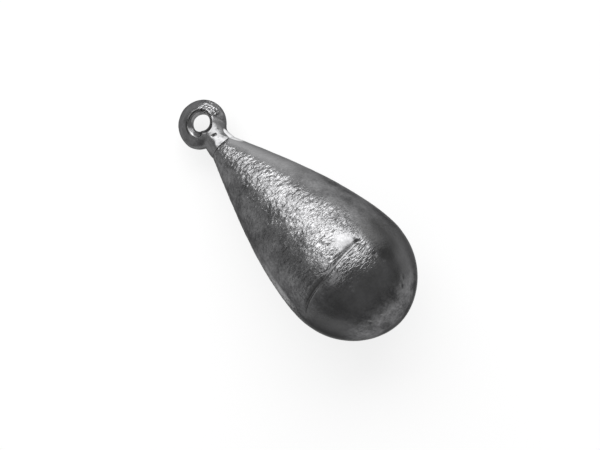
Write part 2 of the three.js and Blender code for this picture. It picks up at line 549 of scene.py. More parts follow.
def add_mesh(name, points, face_lists, sharp_angle):
    """A mesh object at the origin from points in mm and arrays of faces, smooth except at sharp edges."""
    mesh = bpy.data.meshes.new(name)
    faces = [face for array in face_lists for face in array.tolist()]
    mesh.from_pydata((points * MM).tolist(), [], faces)
    mesh.shade_smooth()
    mesh.set_sharp_from_angle(angle=np.radians(sharp_angle))
    piece = bpy.data.objects.new(name, mesh)
    bpy.context.scene.collection.objects.link(piece)
    volume = sum(enclosed_volume(points, array) for array in face_lists)
    print(name, len(points), "points,", len(faces), "faces,", round(volume, 1), "cubic mm")
    return piece


body = add_mesh("lead_body_skin", body_points, body_faces, BODY_SHARP)
# The oxide share holds the fold's oxide and its painted shade
for mark_name, share in zip(("oxide", "calm"), body_marks):
    body.data.attributes.new(mark_name, "FLOAT", "POINT").data.foreach_set("value", as_list(share))

# %% [markdown]
# ## The eye: a ring as a field
#
# The ring flows into its collar with a soft fillet, and no single grid of rows and columns covers that
# well. A field does: a number at every point of space that is negative inside the metal. The ring's section
# is squarer than a circle, it is fuller where it leaves the collar on one side, and its upper face is a
# cone that slopes away from the hole. A smooth minimum of two fields joins them with a fillet of the size
# that we choose.

# %% Field of the ring
RING_RADIUS = 3.3  # middle of the ring's section
SECTION_RADIUS = 1.5
SECTION_HEIGHTS = (1.5, 2.2)  # half height of the section below and above, before the upper face is cut
SECTION_POWER = 3  # 2 is a round section, and more is squarer
ROOT_SWELL = 0.24  # how much fuller the section is where it leaves the collar on the -Y side
ROOT_ANGLE = np.radians(-62)
ROOT_SPREAD = np.radians(38)
LIMB_THICKNESS = 0.4  # extra thickness, as a share, of the limb that the collar runs into
LIMB_SPREAD = np.radians(62)
FACE_RADIUS = 2.42  # where the sloping face has its height
FACE_HEIGHT = 1.46
FACE_SLOPE = 0.47
FACE_ROUNDING = 0.08
FACE_FILLET = 0.5
# From no sloping face to all of it, by the angle from the collar: on the -Y side, then on the other
FACE_SPANS = np.radians([[15, 85], [5, 50]])


def smooth_minimum(a, b, fillet):
    """The lesser of two fields, lowered by up to a quarter of the fillet where they are alike."""
    share = np.clip(1 - np.abs(a - b) / fillet, 0, 1)
    return np.minimum(a, b) - share * share * fillet / 4


def round_ring(side, height):
    """Place from the ring's middle, and the angle round it from the collar."""
    x, y = side - RING_OFFSET, height - RING_REACH
    return x, y, np.arctan2(x, -y)


def near_collar(angle, spans):
    """1 near the collar and 0 round the rest of the ring, with a smooth step on each side."""
    left, right = (smooth_step(*span, np.abs(angle)) for span in spans)
    return 1 - np.where(angle < 0, left, right)


def ring_field(side, height, rise):
    """(width^p + height^p)^(1/p) - 1 for the section, times its half width, cut above by a cone."""
    x, y, angle = round_ring(side, height)
    radius = np.hypot(x, y)
    swell = ROOT_SWELL * bell(angle - ROOT_ANGLE, ROOT_SPREAD)
    thick = 1 + LIMB_THICKNESS * bell(angle, LIMB_SPREAD)
    half_width = SECTION_RADIUS + swell
    wide = np.abs((radius - RING_RADIUS - swell) / half_width) ** SECTION_POWER
    half_height = np.where(rise < 0, SECTION_HEIGHTS[0] * thick, SECTION_HEIGHTS[1])
    section = ((wide + np.abs(rise / half_height) ** SECTION_POWER) ** (1 / SECTION_POWER) - 1) * half_width
    out = radius - FACE_RADIUS
    drop = FACE_SLOPE * out + FACE_ROUNDING * np.maximum(out, 0) ** 2
    face = (rise - FACE_HEIGHT * thick + drop) / np.hypot(1, FACE_SLOPE)
    return -smooth_minimum(-section, near_collar(angle, FACE_SPANS) - face, FACE_FILLET)


print("ring field in its far limb:", ring_field(RING_OFFSET, RING_REACH + RING_RADIUS, 0.0).round(2))

# %% [markdown]
# ## The eye: its collar
#
# The collar rises from its seat in the lead as a round post, leans over to the ring and flattens to an oval
# at the crown. Its foot is wider at the sides, where the lead is flush with it, and on the -Y side it
# narrows sooner. A loft through a few sections would do, but as a field it can be joined to the ring with a
# fillet.

# %% Field of the collar
COLLAR_BASE = -0.84  # height of the collar's seat over the neck face
COLLAR_RIM = 0.02  # the collar comes out of the lead here
RIM_STEP = (-0.02, 0.06)  # it widens from its seat to its foot between these heights over the rim
COLLAR_TOP = 5.1
SEAT_HALF = 2.69  # half width of the collar inside the lead, at its foot and at its waist
COLLAR_FOOT = 2.79
COLLAR_WAIST = 2.84
WAIST_END = 0.15  # share of the height at which the waist is reached
CROWN_HALF = (2.5, 2.3)  # half width and half thickness where it meets the hole
CROWN_START = 0.5  # share of the height at which it starts to narrow
FLUSH_FLARE = 0.16  # the foot is wider by this at the sides, up to a share of the height
FLARE_END = 0.35
FLUSH_NARROW = 0.3  # on the -Y side it narrows sooner by this share, from one sine of the angle to another
NARROW_SIDE = (-0.05, -0.5)
LEAN_SPAN = (1.8, 4.6)  # heights between which it leans over to the ring
AXIS_GUARD = 0.01  # keeps the sine defined on the axis


def collar_field(side, height, rise):
    """(distance in an oval of changing halves - 1) x the lesser half, cut at base and top."""
    off_side = side - RING_OFFSET * smooth_step(*LEAN_SPAN, height)
    sine = off_side / np.maximum(np.hypot(off_side, rise), AXIS_GUARD)
    up = np.clip((height - COLLAR_RIM) / (COLLAR_TOP - COLLAR_RIM), 0, 1)
    out_of_lead = smooth_step(*RIM_STEP, height - COLLAR_RIM)
    flare = FLUSH_FLARE * (1 - shrunk(sine)) * (1 - smooth_step(0, FLARE_END, up))
    to_waist = (COLLAR_WAIST - COLLAR_FOOT) * smooth_step(0, WAIST_END, up)
    round_half = SEAT_HALF + (COLLAR_FOOT - SEAT_HALF + flare) * out_of_lead + to_waist
    sooner = FLUSH_NARROW * smooth_step(*NARROW_SIDE, sine)
    narrowed = smooth_step(CROWN_START - sooner, 1 - sooner, up)
    half_width = round_half + (CROWN_HALF[0] - COLLAR_WAIST) * narrowed
    half_depth = round_half + (CROWN_HALF[1] - COLLAR_WAIST) * up
    wall = (np.hypot(off_side / half_width, rise / half_depth) - 1) * np.minimum(half_width, half_depth)
    return np.maximum(wall, np.maximum(COLLAR_BASE - height, height - COLLAR_TOP))


print("collar field on its axis:", collar_field(0.0, 1.0, 0.0).round(2))

# %% [markdown]
# ## The eye: hole, bevel, nick and stem
#
# The hole widens towards both faces, and its upper edge was bevelled off centre, which leaves a ledge. A
# short nick crosses the crown. The stem below is buried and unseen, but it is a part of the piece, so it
# has its place in the pocket. Drills and cutters could be booleans on a mesh. As fields they are only a
# maximum or a minimum.

# %% Field of the hole
BORE_RADIUS = 1.74
BORE_FLARE = 0.5  # how much wider the hole is at its edge by the collar, and round the rest
FAR_FLARE = 0.6
LEDGE_CENTRE = (-0.9, -0.3)  # middle of the bevel, from the middle of the ring
LEDGE_RADIUS = 2.25
BEVEL_RUN = 1.2  # outwards for each mm up
# From no bevel to all of it, by the angle from the collar: on the -Y side, then on the other
BEVEL_SPANS = np.radians([[12, 52], [15, 80]])


def bore_field(side, height, rise):
    """Negative in the bevel's cone and in the hole, which widens with the 2nd or 4th power of the rise."""
    x, y, angle = round_ring(side, height)
    near = near_collar(angle, BEVEL_SPANS)
    lift = np.abs(rise) / SECTION_RADIUS
    flare = near * BORE_FLARE * lift**2 + (1 - near) * FAR_FLARE * np.minimum(lift, 1) ** 4
    hole = np.hypot(x, y) - BORE_RADIUS - flare
    bevel_radius = LEDGE_RADIUS + BEVEL_RUN * (rise - SECTION_RADIUS)
    cone = np.hypot(x - LEDGE_CENTRE[0], y - LEDGE_CENTRE[1]) - bevel_radius
    return np.minimum(hole, cone / np.hypot(1, BEVEL_RUN) + near)


print("hole field at the middle of the ring:", bore_field(RING_OFFSET, RING_REACH, 0.0).round(2))

# %% Nick and stem
NICK_HEIGHT = 2.47
NICK_SIDE = 0.43
NICK_SLANT = 0.22
NICK_LENGTH = 0.48
NICK_WIDTH = 0.16
NICK_DEPTH = 0.24


def nick_depth(side, height, rise):
    """A short slanting nick on the upper side: a bell curve across it times a flatter one along it."""
    off_nick = height - NICK_HEIGHT + NICK_SLANT * (side - NICK_SIDE)
    ends = np.exp(-(((side - NICK_SIDE) / NICK_LENGTH) ** 4))
    return NICK_DEPTH * bell(off_nick, NICK_WIDTH) * ends * (rise > 0)


def stem_field(side, height, rise):
    """A round stem below the collar with a wider, bevelled anchor foot."""
    radius = np.hypot(side, rise)
    stem = np.maximum(radius - STEM_RADIUS, np.maximum(-STEM_LENGTH - height, height - COLLAR_RIM))
    off_foot = np.abs(height + STEM_LENGTH - FOOT_LENGTH / 2)
    foot = np.maximum(radius - FOOT_RADIUS, off_foot - FOOT_LENGTH / 2)
    bevelled = (radius + off_foot - FOOT_RADIUS - FOOT_LENGTH / 2 + FOOT_BEVEL) / np.sqrt(2)
    return np.minimum(stem, np.maximum(foot, bevelled))


print("stem field in the foot:", stem_field(0.0, -STEM_LENGTH + FOOT_LENGTH / 2, 0.0).round(2))

# %% [markdown]
# ## The eye: one field
#
# Ring and collar are joined with a fillet, and the hole is cut from both. On meshes each joint would be a
# boolean and a bevel, and a bevel on such crooked edges often fails. The edge between bevel and face is
# sharp all round, but worn where the line rubbed it on the -Y side. A little unevenness of the casting is
# added as height.

# %% Join the fields
COLLAR_FILLET = 0.6
LEDGE_FILLET = 0.06  # rounding of the bevel's edge, and what is added where it is most worn
WORN_FILLET = 0.44
WORN_ANGLE = np.radians(-70)
WORN_SPREAD = np.radians(26)
EYE_SWELL = {"height": 0.05, "size": 3.1, "seed": 21}
EYE_DENT = {"height": 0.025, "size": 0.9, "seed": 22}
SEAT_PLAIN = 0.2  # the unevenness starts this far below the rim


def eye_field(points):
    """Smooth minimum of ring and collar, less the hole, plus unevenness, or the stem where that is less."""
    side, height, rise = np.moveaxis(points, -1, 0)
    head = smooth_minimum(ring_field(side, height, rise), collar_field(side, height, rise), COLLAR_FILLET)
    worn = bell(round_ring(side, height)[2] - WORN_ANGLE, WORN_SPREAD)
    head = -smooth_minimum(-head, bore_field(side, height, rise), LEDGE_FILLET + WORN_FILLET * worn)
    uneven = relief(points, **EYE_SWELL) + relief(points, **EYE_DENT) + nick_depth(side, height, rise)
    above_seat = smooth_step(COLLAR_RIM - SEAT_PLAIN, COLLAR_RIM, height)
    return np.minimum(head + uneven * above_seat, stem_field(side, height, rise))


print("eye field in the hole:", eye_field(np.array([[RING_OFFSET, RING_REACH, 0.0]])).round(2))

# %% [markdown]
# ## The eye: a skin for the field
#
# To draw the field's zero surface, cut space into small cubes. Each cube with a change of sign at its
# corners gets one point, and each cube edge with a change of sign gets a face joining the four cubes round
# it. The points are then slid along the field's slope onto the surface itself, which takes the steps of the
# cubes away. Blender's metaballs work in the same way, but only with a few shapes of their own.

# %% Move points onto the surface
SLOPE_STEP = 0.002
LEAST_SLOPE = 0.05  # least square of the slope, so that a flat stretch can't throw a point far
SLIDE_ROUNDS = 2


def slope_of(field, points):
    """Slope by central differences along each of the three directions."""
    steps = np.eye(3) * SLOPE_STEP
    return np.stack([(field(points + d) - field(points - d)) / (2 * SLOPE_STEP) for d in steps], axis=-1)


def slide_to_zero(field, points):
    """Newton steps: each point moves by the field's value against its slope."""
    for _ in range(SLIDE_ROUNDS):
        slope = slope_of(field, points)
        step = field(points) / np.maximum((slope**2).sum(-1), LEAST_SLOPE)
        points = points - step[:, None] * slope
    return points


def relax(points, faces):
    """Move each point halfway to the mean of its neighbours along the faces' edges."""
    starts = faces.ravel()
    ends = np.roll(faces, -1, axis=1).ravel()
    total = np.zeros_like(points)
    count = np.zeros(len(points))
    for a, b in ((starts, ends), (ends, starts)):
        np.add.at(total, a, points[b])
        np.add.at(count, a, 1)
    return (points + total / count[:, None]) / 2


print("a point at the ring's end slides to", slide_to_zero(eye_field, np.array([[RING_OFFSET, 12.0, 0.0]])))

# %% Pull a mesh out of the field
CUBE = 0.11
# Corners of a box round the eye: side, height and rise
EYE_LOW = np.array([-5.4, -STEM_LENGTH - 0.5, -3.4])
EYE_HIGH = np.array([6.0, 12.4, 3.4])
SETTLE_ROUNDS = 3
EYE_SHARP = 60  # degrees


def skin_of(field, low, high, cube):
    """One point per cube that the surface crosses, one four-cornered face per crossed cube edge."""
    axes = [np.arange(a, b, cube) for a, b in zip(low, high)]
    inside = field(np.stack(np.meshgrid(*axes, indexing="ij"), axis=-1)) < 0
    shape = np.array(inside.shape) - 1
    corners_inside = np.zeros(shape, int)
    for corner in np.ndindex(2, 2, 2):
        corners_inside += inside[tuple(slice(c, c + n) for c, n in zip(corner, shape))]
    crossed = (corners_inside > 0) & (corners_inside < 8)
    number = np.full(shape, -1)
    number[crossed] = np.arange(crossed.sum())
    points = low + (np.argwhere(crossed) + 0.5) * cube
    faces = []
    for axis in range(3):
        order = (axis, (axis + 1) % 3, (axis + 2) % 3)
        edge = np.transpose(inside, order)[:, 1:-1, 1:-1]
        cells = np.transpose(number, order)
        around = [cells[:, :-1, :-1], cells[:, 1:, :-1], cells[:, 1:, 1:], cells[:, :-1, 1:]]
        around = np.stack(around, axis=-1)
        faces.append(around[edge[:-1] & ~edge[1:]])
        faces.append(around[~edge[:-1] & edge[1:]][:, ::-1])
    return points, np.vstack(faces)


eye_local, eye_faces = skin_of(eye_field, EYE_LOW, EYE_HIGH, CUBE)
for _ in range(SETTLE_ROUNDS):
    eye_local = slide_to_zero(eye_field, relax(eye_local, eye_faces))
eye_points = place(-eye_local[:, 1], eye_local[:, 0], eye_local[:, 2])
eye = add_mesh("cast_eye_skin", eye_points, [eye_faces], EYE_SHARP)

# %% [markdown]
# ## Writing a finish as sums
#
# A finish is a graph of nodes. It could be drawn by hand in the shader editor, but then nobody can read it
# as text. Wrapping a socket in a small class lets us write its arithmetic as Python does, and each operator
# adds one Math node. Every other node comes from a single method.


# %% A value of a finish
class Value:
    """A socket of a material's nodes. Arithmetic on it adds Math nodes, and node() adds any other kind."""

    def __init__(self, tree, socket=None):
        self.tree = tree
        self.socket = socket

    def node(self, kind, settings=None, out=0, **sockets):
        """Add a node: settings first, then sockets by name with _ for a space, or by i and a number."""
        made = self.tree.nodes.new(kind)
        for name, setting in (settings or {}).items():
            setattr(made, name, setting)
        for name, value in sockets.items():
            index = int(name[1:]) if name[1:].isdigit() else name.replace("_", " ")
            if isinstance(value, Value):
                self.tree.links.new(value.socket, made.inputs[index])
            else:
                made.inputs[index].default_value = value
        return Value(self.tree, made.outputs[out] if made.outputs else None)

    def math(self, operation, *values):
        """Add a Math node for an operation on one or two values."""
        sockets = {f"i{number}": value for number, value in enumerate(values)}
        return self.node("ShaderNodeMath", {"operation": operation}, **sockets)

    def __add__(self, other):
        return self.math("ADD", self, other)

    __radd__ = __add__

    def __sub__(self, other):
        return self.math("SUBTRACT", self, other)

    def __rsub__(self, other):
        return self.math("SUBTRACT", other, self)

    def __mul__(self, other):
        return self.math("MULTIPLY", self, other)

    __rmul__ = __mul__


def new_finish(name):
    """An empty material and the value to start its nodes from."""
    finish = bpy.data.materials.new(name)
    finish.use_nodes = True
    finish.node_tree.nodes.clear()
    return finish, Value(finish.node_tree)


print("a value adds a node for each +, - and *")

# %% [markdown]
# ## Places on the sinker
#
# Stains, worn edges and cleaner sides have their places along the axis and round it. They could be painted
# on an image, but that would need an unwrapped surface and blur close up. Here each is a row of a table: a
# strength, and then, for each coordinate that matters, where the area starts and where it is full. The
# angle jumps at the underside, so wide areas use its sine, called side, which is -1 on the -Y side and 1 on
# the +Y side.


# %% Coordinates and areas
def sinker_places(start):
    """By name: mm along, across and up from the neck, degrees round the axis and their sine, and the spot."""
    coords = start.node("ShaderNodeTexCoord", out="Object")
    dot = {"operation": "DOT_PRODUCT"}
    where = {}
    for name, way in (("along", down_axis), ("across", ACROSS), ("rise", bore_up)):
        length = start.node("ShaderNodeVectorMath", dot, out="Value", i0=coords, i1=tuple(way / MM))
        where[name] = length - float(neck_centre @ way)
    round_body = start.math("ARCTAN2", where["across"], where["rise"])
    where["angle"] = start.math("DEGREES", round_body)
    where["side"] = start.math("SINE", round_body)
    where["spot"] = start.node("ShaderNodeCombineXYZ", X=where["along"], Y=where["across"], Z=where["rise"])
    return where


def ramp(value, low, high):
    """0 before low and 1 past high, with a smooth step between."""
    settings = {"interpolation_type": "SMOOTHSTEP"}
    return value.node("ShaderNodeMapRange", settings, Value=value, From_Min=low, From_Max=high)


def areas(where, table):
    """Sum over the rows of a table: a strength times the ramps of the coordinates that the row names."""
    total = 0
    for strength, *spans in table:
        share = strength
        for name, start, full in spans:
            share = share * ramp(where[name], start, full)
        total = total + share
    return total


def distance_to(where, spot):
    """Distance in mm from a spot given by its along, across and rise."""
    settings = {"operation": "DISTANCE"}
    return where["spot"].node("ShaderNodeVectorMath", settings, out="Value", i0=where["spot"], i1=spot)


def blend(share, first, second):
    """Two colours mixed by a share."""
    colours = [colour if isinstance(colour, Value) else (*colour, 1) for colour in (first, second)]
    settings = {"data_type": "RGBA"}
    return share.node("ShaderNodeMix", settings, out=2, Factor=share, i6=colours[0], i7=colours[1])


print("finishes are measured from the neck at", neck_centre.round(2))

# %% [markdown]
# ## A painted reflection on the neck
#
# On the +Y side of the neck, across lead and collar at once, a near-white oval is a painted reflection
# of the sheet. Each finish could have a bright spot of its own, but one function used by both keeps the
# oval whole at the joint.

# %% Painted reflection in an oval
# Near-white of the painted reflections
PAINTED_SHINE = (0.9, 0.9, 0.91)
SHINE_MIDDLE = (-0.1, 64)  # mm along the axis and degrees round it
SHINE_HALF = (2.3, 18)
SHINE_EDGE = (1.2, 0.75)  # nothing where the oval's sum is past the first, all of it under the second


def shine_oval(where):
    """Painted reflection in an oval: squares of the distances from its middle, over its half lengths, sum to
    1 on its outline.
    """
    off_along = (where["along"] - SHINE_MIDDLE[0]) * (1 / SHINE_HALF[0])
    off_angle = (where["angle"] - SHINE_MIDDLE[1]) * (1 / SHINE_HALF[1])
    return ramp(off_along * off_along + off_angle * off_angle, *SHINE_EDGE)


print("trimmed seam of", 2 * SHINE_HALF[0], "mm by", 2 * SHINE_HALF[1], "degrees")

# %% [markdown]
# ## The lead's finish: its tone
#
# Old lead is a dark grey metal under a thin oxide, blotchy over a few millimetres. One noise alone looks
# like clouds, so a finer one is mixed in. The +Y side is painted lighter, most at the neck, and the -Y side
# past the neck darker: painted light and shade. A strip by the fold is lighter as a painted highlight, and
# the dome's rim as a painted reflection of the sheet. The dome is plainer and a little darker, which the two
# tables say.

# %% Blotches of the lead
LEAD_DARK = (0.1, 0.1, 0.102)
LEAD_LIGHT = (0.33, 0.33, 0.335)
BLOTCH = {"Scale": 0.28, "Detail": 4.0, "Roughness": 0.6}
MOTTLE = {"Scale": 2.4, "Detail": 2.0}
BLOTCH_SHARE = 0.7
NOISE_MEAN = 0.5
TONE_SPAN = (-0.15, 0.33)
DOME = ("along", 33, 39)
DOME_RIM = ("along", 42, 44)
BLOTCHIER = (
    (-0.65, DOME),
    (1.3, ("along", 41, 45)),  # the tip
)
TONE_AND_PAINTED_LIGHT = (
    (0.6, ("side", 0.1, 0.85), ("along", 25, 0)),  # the +Y side, most at the neck: painted light
    (-0.08, ("side", 0.2, -0.6), ("along", 5, 10)),  # the -Y side, past the neck: painted shade
    # A strip of the top, before the fold: painted highlight
    (0.16, ("side", -0.27, -0.14), ("side", 0.08, -0.06), ("along", 26, 29), ("along", 33.2, 32.2)),
    (-0.03, DOME),
    # Painted reflection of the sheet on the dome's rim, more of it on the -Y side
    (0.04, DOME_RIM),
    (0.12, ("side", -0.4, -0.8), DOME_RIM),
)


def noises(where, *patterns):
    """A noise for each pattern of scale and detail."""
    spot = where["spot"]
    return [spot.node("ShaderNodeTexNoise", Vector=spot, **pattern) for pattern in patterns]


def lead_tone(where, blotch, mottle):
    """Dark to light by both noises about their mean, times how blotchy an area is, plus painted light and
    shade by area.
    """
    uneven = BLOTCH_SHARE * blotch + (1 - BLOTCH_SHARE) * mottle - NOISE_MEAN
    light = uneven * (1 + areas(where, BLOTCHIER)) + areas(where, TONE_AND_PAINTED_LIGHT)
    tone = light.node("ShaderNodeMapRange", Value=light, From_Min=TONE_SPAN[0], From_Max=TONE_SPAN[1])
    return blend(tone, LEAD_DARK, LEAD_LIGHT)


print("lead from", LEAD_DARK, "to", LEAD_LIGHT, "in", len(TONE_AND_PAINTED_LIGHT), "areas")

# %% [markdown]
# ## The lead's finish: painted shade and a painted edge reflection
#
# The fold holds dark oxide, deepened by painted shade, and painted shade darkens the lead low on both sides
# of the belly and the dome, and under the tip. A pale strip along the -Y edge, broken up in places, is a
# painted reflection of the sheet. Separate materials for these would show their borders, so they are shares
# that darken or lighten the one colour.

# %% Painted shade and a painted edge reflection
# The dark of the fold's oxide, used for painted shade too
DARK_OXIDE_AND_SHADE = (0.05, 0.05, 0.05)
FOLD_OXIDE_AND_SHADE = 0.8  # how far the oxide and painted shade in the fold hide the lead
BELLY_SHADE = (("along", 26.5, 34), ("along", 40, 37))
DOME_SHADE = (("along", 37, 40), ("along", 44.5, 42))
SHADED_SIDE = ("side", 0.42, 0.56)
LOW_SIDE = ("side", 0.74, 0.88)  # the painted shade of the +Y side is half as dark here
PAINTED_SHADE = (
    (0.55, ("side", -0.5, -0.9), ("along", 33, 37), ("along", 43, 41)),  # painted shade on the -Y side
    (0.85, SHADED_SIDE, *BELLY_SHADE),
    (-0.425, LOW_SIDE, *BELLY_SHADE),
    (0.4, SHADED_SIDE, *DOME_SHADE),
    (-0.2, LOW_SIDE, *DOME_SHADE),
    (0.6, ("rise", 3.4, 1.8), ("along", 43.5, 45.5), ("across", -5.5, -3)),  # painted shade under the tip
)
# Painted reflection of the sheet: a pale strip along the -Y edge
PAINTED_EDGE_REFLECTION = ((1, ("angle", -60, -66), ("angle", -80, -70), ("along", 17, 29), ("along", 35, 30)),)
EDGE_REFLECTION_WHERE = (0.36, 0.52)  # it is broken up by the noises, between these values of their mean
EDGE_REFLECTION_BRIGHT = 0.17
EDGE_REFLECTION_DULL = 0.5  # how far the strip looks less like metal


def lead_mark(start, name):
    """A share from 0 to 1 that the body's mesh holds for each point."""
    return start.node("ShaderNodeAttribute", {"attribute_name": name}, out="Fac")


def edge_reflection_share(where, blotch, mottle):
    """The painted reflection's strip times a ramp of the mean of both noises."""
    return areas(where, PAINTED_EDGE_REFLECTION) * ramp((blotch + mottle) * 0.5, *EDGE_REFLECTION_WHERE)


print(len(PAINTED_SHADE), "rows of stains, and a seam rubbed over", PAINTED_EDGE_REFLECTION[0][1:3])

# %% [markdown]
# ## The lead's finish: fine ripples
#
# The finest ripples break a reflection into sparkles. As height they would need millions of faces, so they
# are bump: the noise only tilts the normal that the light meets. It is squeezed along the axis, as the
# mesh's ripples are, and it ends where those end, on the dome and under the painted reflections.

# %% Fine ripples as bump
FINE_RIPPLE = 0.3  # mm along the axis
FINE_STRETCH = 2.3
FINE_PATTERN = {"Scale": 1 / (FINE_RIPPLE * FINE_STRETCH), "Detail": 1.0, "Distortion": 0.7}
FINE_HEIGHT = 0.15  # mm
FINE_AREAS = ((-0.85, ("along", 35, 40)),)


def fine_ripples(where, painted_shine_share):
    """Noise squeezed along the axis, times what the patch, the dome, the painted reflections and calm places
    leave of it.
    """
    start = where["spot"]
    squeezed = start.node(
        "ShaderNodeCombineXYZ", X=where["along"] * FINE_STRETCH, Y=where["across"], Z=where["rise"]
    )
    ripple = start.node("ShaderNodeTexNoise", Vector=squeezed, **FINE_PATTERN)
    off_patch = ramp(distance_to(where, patch_spot), *PATCH_REACH[::-1])
    left = off_patch * (1 + areas(where, FINE_AREAS)) * (1 - painted_shine_share) * (1 - lead_mark(start, "calm"))
    return start.node("ShaderNodeBump", Height=ripple * left, Strength=1.0, Distance=FINE_HEIGHT * MM)


print("ripples of", FINE_RIPPLE, "mm by", round(FINE_RIPPLE * FINE_STRETCH, 2), "mm")

# %% [markdown]
# ## The lead's finish: together
#
# All of it feeds one metal. A plain metal turns mirror-bright where it is seen edge on, but oxide keeps old
# lead dull there. A second shader could be mixed in by angle, but a dark tint of the edge reflection needs
# one socket.

# %% Oxidised lead
EDGE_TINT = (0.34, 0.34, 0.34, 1)
SMOOTHEST = 0.2  # roughness, and what the blotches add to it
BLOTCH_ROUGHNESS = 0.2


def metal(start, colour, metallic, roughness, normal):
    """Metal with a dark tint at its edges, sent to the material's output."""
    shader = start.node(
        "ShaderNodeBsdfPrincipled",
        Base_Color=colour,
        Metallic=metallic,
        Roughness=roughness,
        Normal=normal,
        Specular_Tint=EDGE_TINT,
    )
    start.node("ShaderNodeOutputMaterial", Surface=shader)


def lead_finish():
    """Tone of the lead with its painted light, darkened by the fold's oxide and by painted shade, lightened
    by painted reflections.
    """
    finish, start = new_finish("oxidised_lead")
    where = sinker_places(start)
    blotch, mottle = noises(where, BLOTCH, MOTTLE)
    # The pale strip along the -Y edge: painted reflection
    lightened = edge_reflection_share(where, blotch, mottle)
    # Painted reflections: the oval on the neck and the strip along the -Y edge
    painted_shine_share = shine_oval(where) + EDGE_REFLECTION_BRIGHT * lightened
    # The fold's oxide with its painted shade, and painted shade low on the body and under the tip
    oxide_and_shade = FOLD_OXIDE_AND_SHADE * lead_mark(start, "oxide") + areas(where, PAINTED_SHADE)
    lead = blend(oxide_and_shade, lead_tone(where, blotch, mottle), DARK_OXIDE_AND_SHADE)
    colour = blend(painted_shine_share, lead, PAINTED_SHINE)
    roughness = SMOOTHEST + BLOTCH_ROUGHNESS * blotch
    metal(start, colour, 1 - EDGE_REFLECTION_DULL * lightened, roughness, fine_ripples(where, painted_shine_share))
    return finish


body.data.materials.append(lead_finish())
print("lead finish on", body.name, "with", len(body.data.materials[0].node_tree.nodes), "nodes")

# %% [markdown]
# ## The eye's finish: its tone
#
# The eye is a harder, cleaner casting, with only faint mottling. It is darker round the ring, and the +Y
# side of the collar is darker as painted shade. One stretch of the ring is pitted and painted lighter, a
# painted highlight. It could share the lead's finish with other numbers, but it has few of the lead's marks,
# so it has its own.

# %% Tone of the eye
EYE_DARK = (0.13, 0.13, 0.132)
EYE_LIGHT = (0.2, 0.2, 0.203)
EYE_BLOTCH = {"Scale": 0.7, "Detail": 3.0}
EYE_MOTTLE = {"Scale": 1.7, "Detail": 1.0}
EYE_BLOTCH_SHARE = 0.6
EYE_SPAN = (0.35, 0.65)
EYE_TONE_AND_SHADE = (
    (-0.6, ("side", 0.3, 0.6), ("along", -7.5, -6)),  # the collar's +Y side: painted shade
    (-0.35, ("along", -4.5, -6)),  # the ring
)
PITTED_SPOT = (-7.8, 3.6, 1.2)  # middle of a rough stretch of the ring: along, across and rise
PITTED_REACH = (2.8, 1.4)
# painted highlight on the pitted stretch of the ring
PITTED_HIGHLIGHT = 0.9
PITTED_SMOOTHER = 0.1
EYE_BUMP = 0.07  # share of the bump that the rest of the eye has
EYE_BUMP_HEIGHT = 0.4  # mm


def eye_tone(where, blotch, mottle, pitted):
    """Dark to light by a mix of both noises and by area, with painted shade on the collar's +Y side and a
    painted highlight where it is pitted.
    """
    mixed = EYE_BLOTCH_SHARE * blotch + (1 - EYE_BLOTCH_SHARE) * mottle
    even = mixed.node("ShaderNodeMapRange", Value=mixed, From_Min=EYE_SPAN[0], From_Max=EYE_SPAN[1])
    return blend(even + areas(where, EYE_TONE_AND_SHADE) + PITTED_HIGHLIGHT * pitted, EYE_DARK, EYE_LIGHT)


print("eye from", EYE_DARK, "to", EYE_LIGHT)

# %% [markdown]
# ## The eye's finish: the rubbed bevel
#
# The bevel round the hole is lighter, worn by the line and painted lighter as painted light on its wall,
# most on the far limb, where a line of painted shade follows its edge. The bevel's two circles could be
# marked on the mesh, but the distance from each is quickly worked out from its middle and radius.

# %% Smooth cast metal
# Bevel colours, lighter from wear and painted light on its wall; the second is painted light on the far limb
EYE_RUBBED = (0.24, 0.24, 0.243)
FAR_LIMB_PAINTED_LIGHT = (0.32, 0.32, 0.323)
HOLE_EDGE = 2.28  # radius of the hole at the ring's upper face
BEVEL_FADE = (0.0, -0.2)
FAR_LIMB = ("along", 1.0 - RING_REACH, -0.4 - RING_REACH)
PULLED_SIDE = ("across", RING_OFFSET - 1.8, RING_OFFSET - 0.6)
DARK_LINE = 0.02  # middle of a line of painted shade, outside the edge
DARK_LINE_FADE = (0.26, 0.1)  # from nothing to all of it, by the distance from its middle


def off_circle(where, middle, radius):
    """Distance outside a circle in the ring's plane: root of the sum of squares, less its radius."""
    off_side = where["across"] - (RING_OFFSET + middle[0])
    off_height = where["along"] + (RING_REACH + middle[1])
    return off_side.math("SQRT", off_side * off_side + off_height * off_height) - radius


def rubbed_bevel(where, cast):
    """The cast colour, lighter inside both circles from wear and painted light, with a line of painted shade
    along their edge on the far limb.
    """
    off_ledge = off_circle(where, LEDGE_CENTRE, LEDGE_RADIUS)
    off_edge = off_ledge.math("MINIMUM", off_ledge, off_circle(where, (0, 0), HOLE_EDGE))
    lightened = blend(areas(where, ((1, FAR_LIMB, PULLED_SIDE),)), EYE_RUBBED, FAR_LIMB_PAINTED_LIGHT)
    cast = blend(ramp(off_edge, *BEVEL_FADE), cast, lightened)
    line = ramp(off_edge.math("ABSOLUTE", off_edge - DARK_LINE), *DARK_LINE_FADE)
    return blend(areas(where, ((1, FAR_LIMB),)) * line, cast, DARK_OXIDE_AND_SHADE)


